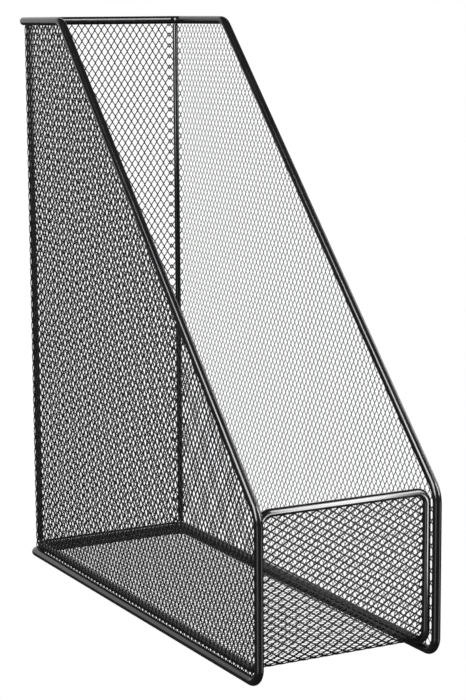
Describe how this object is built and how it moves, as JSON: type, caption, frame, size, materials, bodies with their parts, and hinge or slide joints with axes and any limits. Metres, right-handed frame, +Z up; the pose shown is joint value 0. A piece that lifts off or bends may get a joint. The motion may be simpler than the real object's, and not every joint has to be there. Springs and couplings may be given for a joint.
{
  "type": "magazine file holder",
  "caption": "Open-top mesh magazine file with a sloping bent-wire frame, a low front lip and a mesh front that bends back into the floor, for standing magazines on a desk.",
  "frame": {"origin": "centre of the footprint on the desk", "axes": "+Z up, -Y towards the low open front, +X to the right of a person who faces along +Y into the open front"},
  "size_m": [0.103, 0.28, 0.31],
  "materials": {
    "frame_coating": "black powder coat on round steel wire, satin with a soft gloss",
    "mesh_coating": "black powder coat on expanded steel mesh, satin"
  },
  "bodies": {
    "root": {"outer_frame_wire": "frame_coating", "inner_frame_wire": "frame_coating", "corner_post_left": "frame_coating", "corner_post_right": "frame_coating", "left_wall_mesh": "mesh_coating", "right_wall_mesh": "mesh_coating", "back_wall_mesh": "mesh_coating", "base_and_front_mesh": "mesh_coating"}
  },
  "joints": []
}
